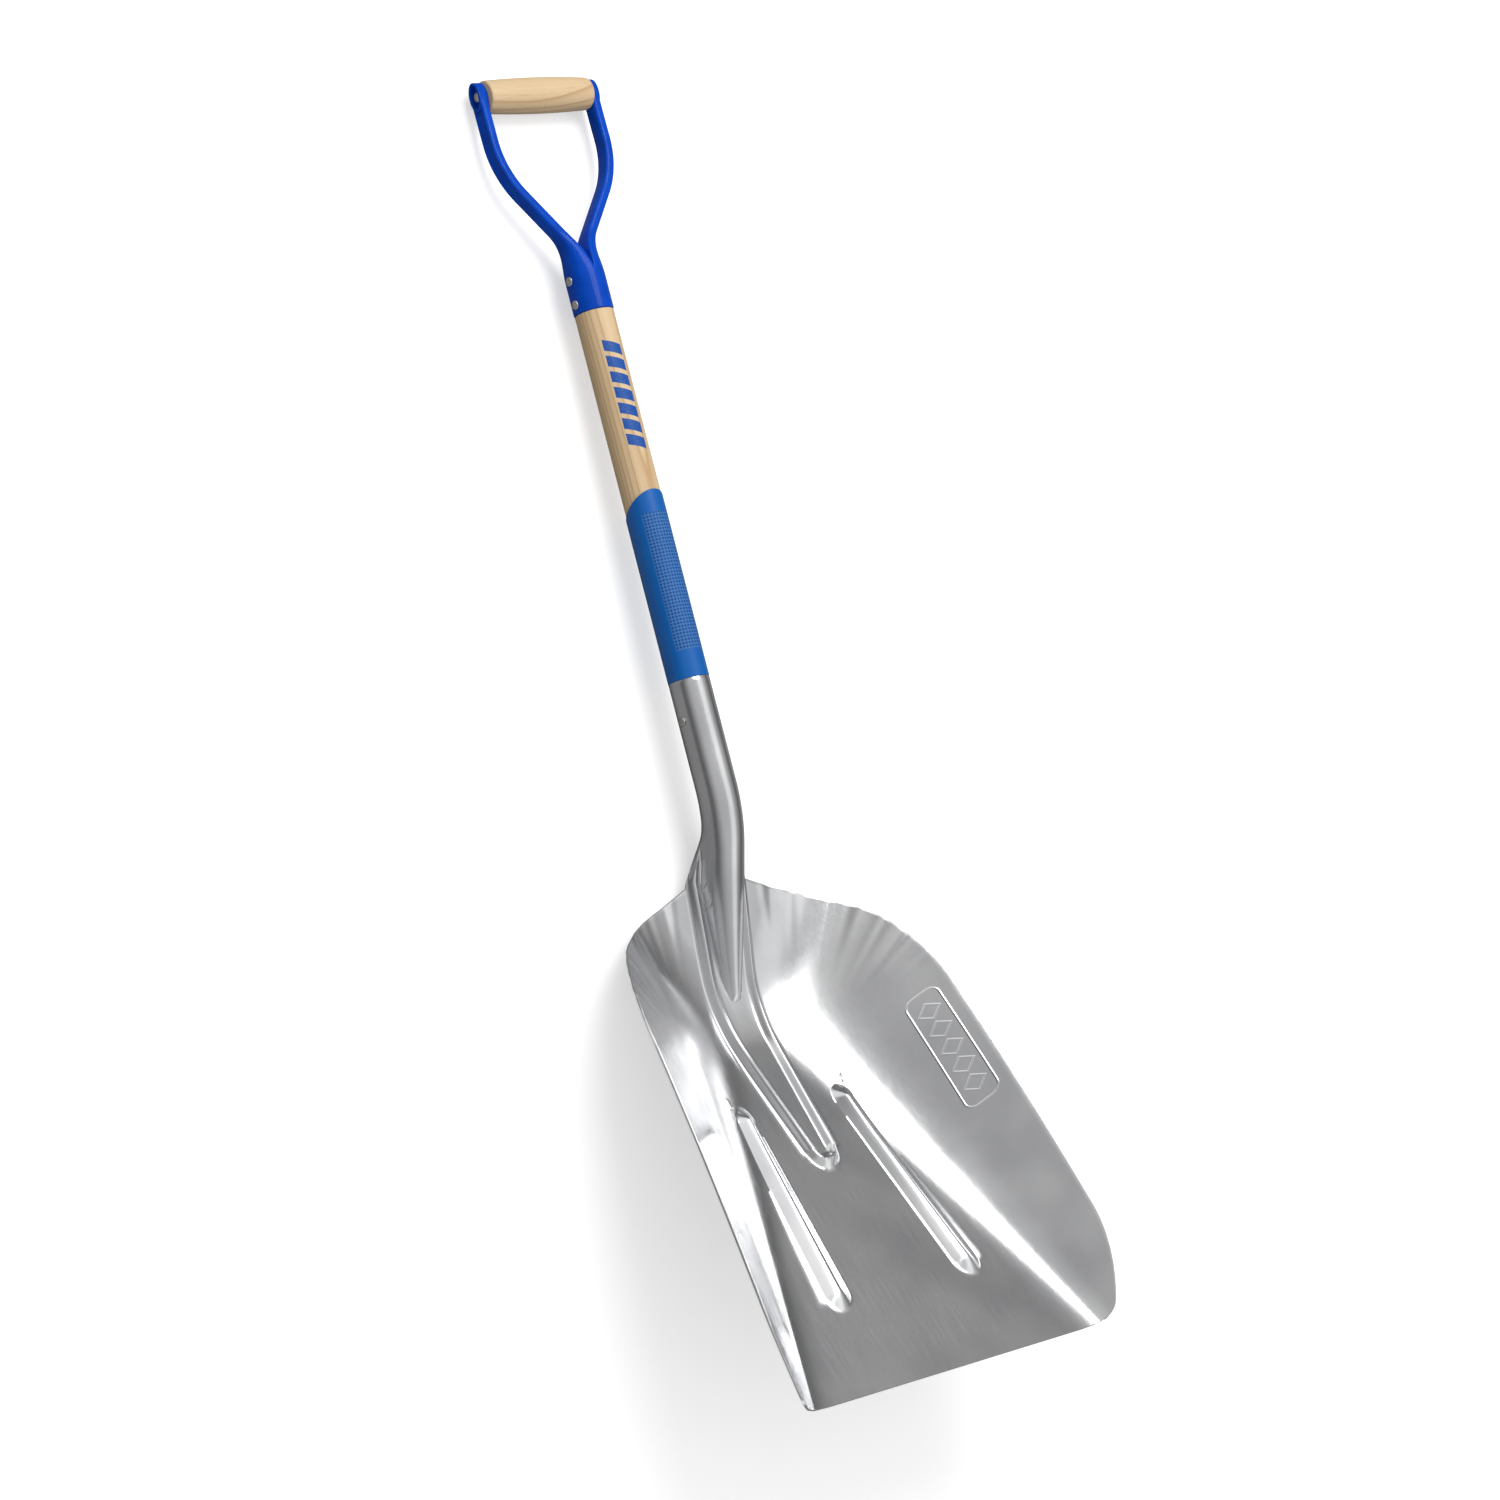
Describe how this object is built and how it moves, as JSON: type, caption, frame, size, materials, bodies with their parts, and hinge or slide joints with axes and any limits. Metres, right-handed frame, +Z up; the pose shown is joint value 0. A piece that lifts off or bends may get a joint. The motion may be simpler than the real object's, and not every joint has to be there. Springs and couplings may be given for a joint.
{
  "type": "grain scoop shovel",
  "caption": "Short scoop shovel for moving grain: wide flared aluminium blade with an open-backed socket, ash shaft, grip sleeve and a steel D-grip with a wooden hand bar.",
  "frame": {"origin": "centre of the footprint on the floor, with the shovel lying on its back on the blade's heel and the hand bar", "axes": "+Y from the blade towards the hand bar, +X across the blade to the user's right, +Z up, out of the hollow side of the blade"},
  "size_m": [0.3882, 1.2012, 0.2021],
  "materials": {
    "blade_aluminium": "bright rolled sheet with a fine brushed grain",
    "ash_wood": "pale ash, sanded and thinly lacquered",
    "sleeve_blue": "semi-gloss blue with a fine stippled gripping patch",
    "yoke_enamel": "glossy blue enamel on folded steel",
    "rivet_steel": "plain zinc-bright steel"
  },
  "bodies": {
    "root": {"scoop_blade": "blade_aluminium", "shaft": "ash_wood", "grip_sleeve": "sleeve_blue", "socket_rivet": "rivet_steel", "yoke": "yoke_enamel", "yoke_rivet_lower": "rivet_steel", "yoke_rivet_upper": "rivet_steel", "hand_bar": "ash_wood", "hand_bar_rod": "rivet_steel"}
  },
  "joints": []
}
